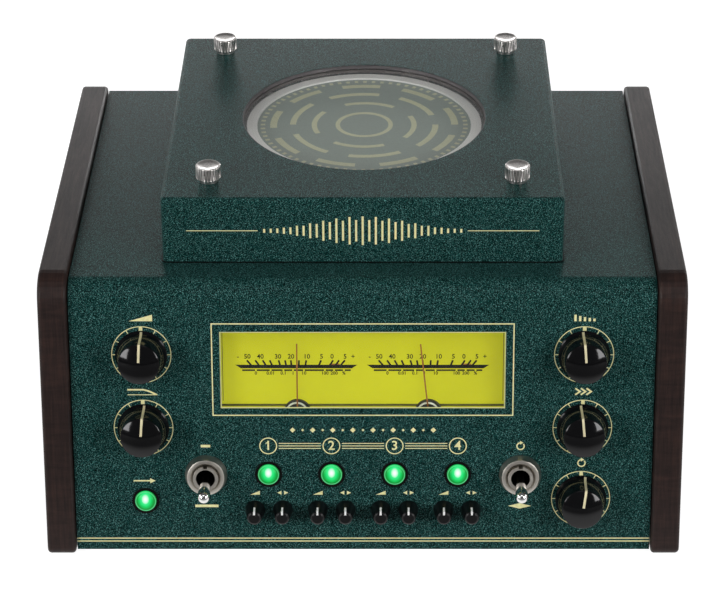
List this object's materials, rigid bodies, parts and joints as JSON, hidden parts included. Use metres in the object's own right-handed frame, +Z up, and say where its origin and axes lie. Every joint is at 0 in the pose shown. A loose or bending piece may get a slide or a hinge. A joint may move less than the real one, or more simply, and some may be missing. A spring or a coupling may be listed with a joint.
{
  "type": "table-top drum echo unit",
  "caption": "Table-top echo unit with wooden cheeks, sloped control panel, lit level meters and a magnetic drum turning under a windowed cover.",
  "frame": {"origin": "on the table under the middle of the unit's box", "axes": "+Z up, +X to the user's right, front panel towards -Y"},
  "size_m": [0.3, 0.2573, 0.1761],
  "materials": {
    "powder_green": "dark green sparkle powder coat, satin",
    "dark_wood": "dark stained, satin",
    "zinc_steel": "zinc plated",
    "foot_rubber": "matte",
    "black_steel": "black oxide",
    "deck_aluminium": "turned and brushed",
    "spindle_steel": "ground",
    "bearing_bronze": "turned",
    "head_metal": "lapped",
    "circuit_board": "solder mask",
    "black_plastic": "moulded",
    "nickel": "nickel plated",
    "lit_dial": "backlit print",
    "clear_plastic": "clear",
    "drum_print": "printed, satin",
    "knob_black": "gloss black",
    "small_knob_black": "satin black",
    "lit_green": "translucent, lit",
    "needle_red": "painted"
  },
  "bodies": {
    "housing": {"chassis_shell": "powder_green", "base_plate": "zinc_steel", "rear_panel": "powder_green", "left_cheek": "dark_wood", "right_cheek": "dark_wood", "rubber_feet": "foot_rubber", "housing_screws": "black_steel", "drum_deck": "deck_aluminium", "spindle_bearing": "bearing_bronze", "head_brackets": "zinc_steel", "erase_head": "head_metal", "record_head": "head_metal", "playback_heads": "head_metal", "drive_motor": "zinc_steel", "drive_belt": "foot_rubber", "main_board": "circuit_board", "control_board": "circuit_board", "pot_bodies": "spindle_steel", "mini_pots": "black_plastic", "panel_nuts": "nickel", "toggle_bodies": "nickel", "button_housings": "black_plastic", "meter_housing": "black_plastic", "meter_dial": "lit_dial", "meter_window": "clear_plastic", "audio_jacks": "black_plastic", "dc_socket": "black_plastic", "cover_posts": "deck_aluminium"},
    "cover": {"drum_cover": "powder_green", "window_pane": "clear_plastic"},
    "thumbscrew_front_left": {"thumbscrew_front_left": "nickel"},
    "thumbscrew_front_right": {"thumbscrew_front_right": "nickel"},
    "thumbscrew_rear_left": {"thumbscrew_rear_left": "nickel"},
    "thumbscrew_rear_right": {"thumbscrew_rear_right": "nickel"},
    "drum": {"drum_wheel": "deck_aluminium", "drum_disc": "drum_print", "drum_spindle": "spindle_steel"},
    "motor_pulley": {"motor_pulley": "bearing_bronze"},
    "gain_knob": {"gain_knob": "knob_black"},
    "tone_knob": {"tone_knob": "knob_black"},
    "echo_knob": {"echo_knob": "knob_black"},
    "speed_knob": {"speed_knob": "knob_black"},
    "repeat_knob": {"repeat_knob": "knob_black"},
    "volume_knob_1": {"volume_knob_1": "small_knob_black"},
    "balance_knob_1": {"balance_knob_1": "small_knob_black"},
    "volume_knob_2": {"volume_knob_2": "small_knob_black"},
    "balance_knob_2": {"balance_knob_2": "small_knob_black"},
    "volume_knob_3": {"volume_knob_3": "small_knob_black"},
    "balance_knob_3": {"balance_knob_3": "small_knob_black"},
    "volume_knob_4": {"volume_knob_4": "small_knob_black"},
    "balance_knob_4": {"balance_knob_4": "small_knob_black"},
    "left_lever": {"left_toggle_lever": "nickel"},
    "right_lever": {"right_toggle_lever": "nickel"},
    "head_button_1": {"head_button_1": "lit_green"},
    "head_button_2": {"head_button_2": "lit_green"},
    "head_button_3": {"head_button_3": "lit_green"},
    "head_button_4": {"head_button_4": "lit_green"},
    "bypass_button": {"bypass_button": "lit_green"},
    "left_needle": {"left_needle": "needle_red"},
    "right_needle": {"right_needle": "needle_red"}
  },
  "joints": [
    {"name": "cover_lift", "type": "slide", "parent": "housing", "child": "cover", "axis": [0, 0, 1], "range_m": [0, 0.06]},
    {"name": "thumbscrew_front_left_turn", "type": "hinge", "parent": "cover", "child": "thumbscrew_front_left", "pos_m": [-0.0721, -0.04791, 0.1677], "axis": [0, 0, 1], "continuous": true},
    {"name": "thumbscrew_front_right_turn", "type": "hinge", "parent": "cover", "child": "thumbscrew_front_right", "pos_m": [0.0721, -0.04791, 0.1677], "axis": [0, 0, 1], "continuous": true},
    {"name": "thumbscrew_rear_left_turn", "type": "hinge", "parent": "cover", "child": "thumbscrew_rear_left", "pos_m": [-0.0721, 0.0986, 0.1677], "axis": [0, 0, 1], "continuous": true},
    {"name": "thumbscrew_rear_right_turn", "type": "hinge", "parent": "cover", "child": "thumbscrew_rear_right", "pos_m": [0.0721, 0.0986, 0.1677], "axis": [0, 0, 1], "continuous": true},
    {"name": "drum_spin", "type": "hinge", "parent": "housing", "child": "drum", "pos_m": [0, 0.02295, 0.1375], "axis": [0, 0, 1], "continuous": true},
    {"name": "motor_spin", "type": "hinge", "parent": "housing", "child": "motor_pulley", "pos_m": [0.062, 0.02295, 0.1075], "axis": [0, 0, 1], "continuous": true},
    {"name": "gain_turn", "type": "hinge", "parent": "housing", "child": "gain_knob", "pos_m": [-0.1028, -0.09472, 0.10099], "axis": [0, 0.9799, -0.1994], "range_deg": [-152, 148]},
    {"name": "tone_turn", "type": "hinge", "parent": "housing", "child": "tone_knob", "pos_m": [-0.1028, -0.10194, 0.06554], "axis": [0, 0.9799, -0.1994], "range_deg": [-154, 146]},
    {"name": "echo_turn", "type": "hinge", "parent": "housing", "child": "echo_knob", "pos_m": [0.1028, -0.09472, 0.10099], "axis": [0, 0.9799, -0.1994], "range_deg": [-146, 154]},
    {"name": "speed_turn", "type": "hinge", "parent": "housing", "child": "speed_knob", "pos_m": [0.1028, -0.10194, 0.06554], "axis": [0, 0.9799, -0.1994], "range_deg": [-145, 155]},
    {"name": "repeat_turn", "type": "hinge", "parent": "housing", "child": "repeat_knob", "pos_m": [0.1028, -0.10907, 0.03048], "axis": [0, 0.9799, -0.1994], "range_deg": [-159, 141]},
    {"name": "volume_knob_1_turn", "type": "hinge", "parent": "housing", "child": "volume_knob_1", "pos_m": [-0.0511, -0.11015, 0.02519], "axis": [0, 0.9799, -0.1994], "range_deg": [-150, 150]},
    {"name": "balance_knob_1_turn", "type": "hinge", "parent": "housing", "child": "balance_knob_1", "pos_m": [-0.038, -0.11015, 0.02519], "axis": [0, 0.9799, -0.1994], "range_deg": [-150, 150]},
    {"name": "volume_knob_2_turn", "type": "hinge", "parent": "housing", "child": "volume_knob_2", "pos_m": [-0.0214, -0.11015, 0.02519], "axis": [0, 0.9799, -0.1994], "range_deg": [-150, 150]},
    {"name": "balance_knob_2_turn", "type": "hinge", "parent": "housing", "child": "balance_knob_2", "pos_m": [-0.0083, -0.11015, 0.02519], "axis": [0, 0.9799, -0.1994], "range_deg": [-150, 150]},
    {"name": "volume_knob_3_turn", "type": "hinge", "parent": "housing", "child": "volume_knob_3", "pos_m": [0.0083, -0.11015, 0.02519], "axis": [0, 0.9799, -0.1994], "range_deg": [-150, 150]},
    {"name": "balance_knob_3_turn", "type": "hinge", "parent": "housing", "child": "balance_knob_3", "pos_m": [0.0214, -0.11015, 0.02519], "axis": [0, 0.9799, -0.1994], "range_deg": [-150, 150]},
    {"name": "volume_knob_4_turn", "type": "hinge", "parent": "housing", "child": "volume_knob_4", "pos_m": [0.038, -0.11015, 0.02519], "axis": [0, 0.9799, -0.1994], "range_deg": [-150, 150]},
    {"name": "balance_knob_4_turn", "type": "hinge", "parent": "housing", "child": "balance_knob_4", "pos_m": [0.0511, -0.11015, 0.02519], "axis": [0, 0.9799, -0.1994], "range_deg": [-150, 150]},
    {"name": "left_toggle", "type": "hinge", "parent": "housing", "child": "left_lever", "pos_m": [-0.074, -0.10766, 0.04244], "axis": [-1, 0, 0], "range_deg": [0, 24]},
    {"name": "right_toggle", "type": "hinge", "parent": "housing", "child": "right_lever", "pos_m": [0.074, -0.10766, 0.04244], "axis": [-1, 0, 0], "range_deg": [0, 24]},
    {"name": "head_button_1_press", "type": "slide", "parent": "housing", "child": "head_button_1", "axis": [0, 0.9799, -0.1994], "range_m": [0, 0.0015], "stiffness_N_per_m": 300},
    {"name": "head_button_2_press", "type": "slide", "parent": "housing", "child": "head_button_2", "axis": [0, 0.9799, -0.1994], "range_m": [0, 0.0015], "stiffness_N_per_m": 300},
    {"name": "head_button_3_press", "type": "slide", "parent": "housing", "child": "head_button_3", "axis": [0, 0.9799, -0.1994], "range_m": [0, 0.0015], "stiffness_N_per_m": 300},
    {"name": "head_button_4_press", "type": "slide", "parent": "housing", "child": "head_button_4", "axis": [0, 0.9799, -0.1994], "range_m": [0, 0.0015], "stiffness_N_per_m": 300},
    {"name": "bypass_button_press", "type": "slide", "parent": "housing", "child": "bypass_button", "axis": [0, 0.9799, -0.1994], "range_m": [0, 0.0015], "stiffness_N_per_m": 300},
    {"name": "left_needle_swing", "type": "hinge", "parent": "housing", "child": "left_needle", "pos_m": [-0.0308, -0.09496, 0.06971], "axis": [0, 0.9799, -0.1994], "range_deg": [-42, 42], "stiffness_Nm_per_rad": 0.0001},
    {"name": "right_needle_swing", "type": "hinge", "parent": "housing", "child": "right_needle", "pos_m": [0.0308, -0.09496, 0.06971], "axis": [0, 0.9799, -0.1994], "range_deg": [-35.5, 48.5], "stiffness_Nm_per_rad": 0.0001}
  ],
  "couplings": [
    {"joint": "motor_spin", "follows": "drum_spin", "ratio": 3.2857}
  ]
}
